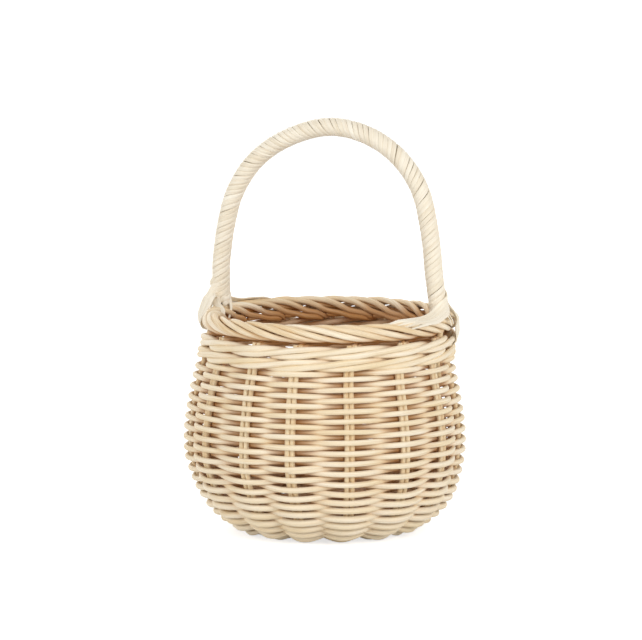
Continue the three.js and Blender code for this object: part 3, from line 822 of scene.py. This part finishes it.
def weave_base():
    end = FIRST_COLUMN + JOIN_OVERLAP
    start = end - BASE_ROWS * PAIRS
    k = np.linspace(start, end, int((end - start) * COLUMN_STEPS) + 1)
    foot = WALE_START - BEHIND_BELOW_WALE - (BEHIND_PAIR - end) * ROW_PITCH / PAIRS
    distance = foot - (end - k) / PAIRS * BASE_PITCH
    sway = -np.interp(distance, *BASE_SWINGS) * np.cos(np.pi * (k - BEHIND_PAIR))
    uneven = wander(len(k), every=COLUMN_STEPS, size=0.12)
    r, z, out_r, out_z = beside_stake_line(distance + uneven, sway)
    angle = pair_angle(k)
    spiral = strand(
        polar(r, angle, z), polar(out_r, angle, out_z), round_section(BASE_ROD), tone=BASE_TONE, depth=sway
    )
    # The rod that binds the cross goes over one arm and under the next
    turn = np.linspace(0, 360 * BINDING_ROUNDS, BINDING_POINTS)
    a = np.radians(turn)
    sides = np.abs(np.cos(a)) ** BINDING_CORNER + np.abs(np.sin(a)) ** BINDING_CORNER
    reach = (BINDING_REACH + BINDING_GROWTH * turn / 360) * sides ** (-1 / BINDING_CORNER)
    lift = BINDING_LIFT * np.clip(-BINDING_SLOPE * np.cos(2 * a), -1, 1)
    binding = strand(
        polar(reach, turn + cross_angle(), STAKE_LINE[0][1] + lift), [0, 0, -1.0],
        round_section(BINDING_ROD), depth=-lift,
    )
    make_piece("base_rods", [spiral, binding], WEAVE, ["base_weaving"])


def bow_line():
    depths = np.array([BOW_DEPTH, BOW_DEPTH / 2, 0.0])
    r, z, _, _ = beside_stake_line(STAKE_LENGTH - depths, 0.0)
    leg = list(zip(r, z))
    return curve_through([*((-x, height) for x, height in leg), *BOW_LINE, *leg[::-1]], steps=80)


bow_curve = bow_line()
bow_along = lengths_along(bow_curve)
BOW_LENGTH = bow_along[-1]
bow_tangent = unit(np.gradient(bow_curve, bow_along, axis=0))


def bow_frame(distance):
    """Centre, outward side and the side across the bow, at distances along it."""
    x, z, tx, tz = (np.interp(distance, bow_along, column) for column in (*bow_curve.T, *bow_tangent.T))
    none = np.zeros_like(x)
    centre = np.stack([x, none, z], axis=-1)
    along = unit(np.stack([tx, none, tz], axis=-1))
    outward = np.stack([-along[:, 2], none, along[:, 0]], axis=-1)
    return centre, outward, np.cross(along, outward)


def bend_bow():
    centre, outward, _ = bow_frame(np.linspace(0, BOW_LENGTH, BOW_POINTS))
    share = np.clip((centre[:, 2] - BOW_TAPER_END) / (BOW_TAPER_TOP - BOW_TAPER_END), 0, 1)
    radius = BOW_TIP_RADIUS + (BOW_RADIUS - BOW_TIP_RADIUS) * share
    # The section has a radius of 1, so that the scale is the bow's radius
    piece = strand(centre, outward, round_section(2.0, BOW_SIDES), radius)
    make_piece("bow", [piece], BOW, ["handle_bow"])


def rope_handle():
    half = len(bow_curve) // 2
    start = float(np.interp(ROPING_BOTTOM, bow_curve[:half, 1], bow_along[:half]))
    end = float(np.interp(ROPING_BOTTOM, bow_curve[:half:-1, 1], bow_along[:half:-1]))
    distance = np.linspace(start, end, int((end - start) / ROPING_LEAD * ROPING_TURN_POINTS))
    centre, outward, side = bow_frame(distance)
    section = flat_section(ROPING_WIDTH, ROPING_THICKNESS, ROPING_CROWN)
    for number in range(ROPING_STRANDS):
        drift = wander(len(distance), every=20, size=0.05)
        turn = 2 * np.pi * (number / ROPING_STRANDS + (distance - start) / ROPING_LEAD) + drift
        radial = outward * np.cos(turn)[:, None] + side * np.sin(turn)[:, None]
        radius = ROPING_RADIUS + wander(len(distance), every=14, size=0.04)
        path = centre + radial * radius[:, None]
        piece = strand(path, radial, section, tone=RNG.uniform(*ROPING_TONES))
        make_piece(f"roping_{number + 1}", [piece], CANE, [f"roping_strand_{number + 1}"])


def tail_band(foot, route, leaves):
    """The middle line of a tail and the way it faces: part of a turn round the leg, and then the route."""
    side = math.copysign(1.0, route[0][0])
    leg = polar(FOOT_RING, foot, BORDER_HEIGHT + LEAVE_HEIGHT)
    points, facings = [], []
    for turn, clear in LEG_TURNS:
        a = math.radians(turn + leaves - LEAVE_TURN)
        around = polar(-side * math.sin(a), foot, 0.0) + polar(side * math.cos(a), foot + 90, 0.0)
        climb = np.array([0.0, 0.0, ROPING_LEAD * (turn - LEAVE_TURN) / 360])
        points.append(leg + around * (ROPING_RADIUS + clear) + climb)
        facings.append(around)
    for past, out, up, face_out, face_along, face_up in route:
        angle = foot + past
        points.append(polar(FOOT_RING + out, angle, BORDER_HEIGHT + up))
        facings.append(polar(face_out, angle, face_up) + polar(face_along, angle + 90, 0.0))
    both = resampled(curve_through(np.hstack([points, unit(np.array(facings))]), steps=14), step=0.9)
    return both[:, :3], unit(both[:, 3:])


def tail_strands(foot, route, count, leaves, ends, sinking):
    """The strands of a tail. Each stops so many steps short of the route's end, and sinks in there."""
    middle, facing = tail_band(foot, route, leaves)
    across = np.cross(facing, unit(np.gradient(middle, axis=0)))
    spread = np.linspace(1.0, TAIL_END_SPREAD, len(middle))[:, None]
    section = flat_section(TAIL_PITCH + TAIL_OVERLAP, TAIL_THICKNESS, TAIL_CROWN)
    strands = []
    for number in range(count):
        aside = (number - (count - 1) / 2) * TAIL_PITCH
        last = len(middle) - ends[number]
        to_end = last - 1 - np.arange(last)
        path = (middle + across * aside * spread + facing * RNG.uniform(*TAIL_RISES))[:last]
        path = path - facing[:last] * np.interp(to_end, *sinking)[:, None]
        scale = np.interp(to_end, *TAIL_WIDTHS)
        strands.append(strand(path, facing[:last], section, scale, tone=RNG.uniform(*TAIL_TONES)))
    return strands


def foot_ends(foot):
    """The short ends of cane at a foot."""
    made = []
    for route, width in FOOT_ENDS:
        control = [polar(FOOT_RING + out, foot + past, BORDER_HEIGHT + up) for past, out, up in route]
        path = resampled(curve_through(control, steps=12), step=0.8)
        facing = unit(path - border_centre(path)) + polar(FOOT_END_TILT, foot + 90, 0.0)
        scale = np.linspace(1.0, FOOT_END_TIP, len(path))
        section = flat_section(width, FOOT_END_THICKNESS, FOOT_END_CROWN)
        made.append(strand(path, facing, section, scale, tone=FOOT_END_TONE))
    return made


def lay_tails():
    not_sunk = ([0], [0.0])
    for side, foot in (("left", 180.0), ("right", 0.0)):
        outer = tail_strands(
            foot, OUTER_TAILS[side], OUTER_STRANDS, OUTER_LEAVES, [0] * OUTER_STRANDS, not_sunk
        )
        make_piece(f"tail_{side}_outer", outer, CANE, [f"cane_tail_{side}_outer"])
        inner = tail_strands(foot, INNER_TAIL, INNER_STRANDS, INNER_LEAVES, INNER_ENDS, INNER_SINKING)
        inner += foot_ends(foot)
        make_piece(f"tail_{side}_inner", inner, CANE, [f"cane_tail_{side}_inner"])


def seen_directly(tree):
    """1 for rays that come from the camera or from a glossy or clear surface."""
    rays = add_node(tree, "ShaderNodeLightPath").outputs
    either = combined(tree, "MAXIMUM", rays["Is Camera Ray"], rays["Is Glossy Ray"])
    return combined(tree, "MAXIMUM", either, rays["Is Transmission Ray"])


def make_stage():
    """A pale floor that the camera sees as white apart from the soft shadow, and a white surround."""
    mesh = bpy.data.meshes.new("floor")
    corners = [(x * FLOOR_HALF, y * FLOOR_HALF, 0) for x, y in ((-1, -1), (1, -1), (1, 1), (-1, 1))]
    mesh.from_pydata(corners, [], [(0, 1, 2, 3)])
    floor = bpy.data.objects.new("floor", mesh)
    bpy.context.scene.collection.objects.link(floor)
    material = bpy.data.materials.new("floor")
    material.use_nodes = True
    tree = material.node_tree
    tree.nodes.clear()
    diffuse = add_node(tree, "ShaderNodeBsdfDiffuse")
    diffuse.inputs["Color"].default_value = FLOOR_COLOUR
    glow = add_node(tree, "ShaderNodeEmission")
    tree.links.new(combined(tree, "MULTIPLY", seen_directly(tree), FLOOR_GLOW), glow.inputs["Strength"])
    both = add_node(tree, "ShaderNodeAddShader")
    tree.links.new(diffuse.outputs[0], both.inputs[0])
    tree.links.new(glow.outputs[0], both.inputs[1])
    surface = add_node(tree, "ShaderNodeOutputMaterial")
    tree.links.new(both.outputs[0], surface.inputs["Surface"])
    mesh.materials.append(material)

    world = bpy.data.worlds.new("surround")
    bpy.context.scene.world = world
    world.use_nodes = True
    tree = world.node_tree
    background = tree.nodes["Background"]
    background.inputs["Color"].default_value = WHITE
    strength = ranged(tree, seen_directly(tree), 0.0, 1.0, AMBIENT, 1.0)
    tree.links.new(strength, background.inputs["Strength"])


def place_camera():
    """Makes the camera, and gives the directions to its right and back to it."""
    azimuth = math.radians(CAMERA_AZIMUTH)
    elevation = math.radians(CAMERA_ELEVATION)
    level = math.cos(elevation)
    back = Vector((math.sin(azimuth) * level, -math.cos(azimuth) * level, math.sin(elevation)))
    right = Vector((math.cos(azimuth), math.sin(azimuth), 0))
    target = Vector((0, 0, CAMERA_AIM_HEIGHT)) - right * CAMERA_AIM_LEFT
    data = bpy.data.cameras.new("camera")
    data.sensor_width = SENSOR_WIDTH
    data.lens = FOCAL_LENGTH
    data.clip_start, data.clip_end = CAMERA_CLIP
    camera = bpy.data.objects.new("camera", data)
    camera.location = target + back * CAMERA_DISTANCE
    camera.rotation_mode = "QUATERNION"
    camera.rotation_quaternion = (-back).to_track_quat("-Z", "Y")
    bpy.context.scene.collection.objects.link(camera)
    bpy.context.scene.camera = camera
    return right, back


def hang_lamps(right, back):
    toward = Vector((back.x, back.y, 0)).normalized()
    aim = Vector((0, 0, LAMP_AIM_HEIGHT))
    for name, across, near, up, power in LAMPS:
        light = bpy.data.lights.new(name, "AREA")
        light.shape = "DISK"
        light.size = LAMP_SIZE
        light.energy = power
        lamp = bpy.data.objects.new(name, light)
        lamp.location = aim + right * across + toward * near + Vector((0, 0, up))
        lamp.rotation_mode = "QUATERNION"
        lamp.rotation_quaternion = (aim - lamp.location).to_track_quat("-Z", "Y")
        bpy.context.scene.collection.objects.link(lamp)


lay_stakes()
weave_wall()
weave_wale()
roll_border()
weave_base()
bend_bow()
rope_handle()
lay_tails()
make_stage()
hang_lamps(*place_camera())
bpy.context.scene.view_settings.view_transform = "Standard"
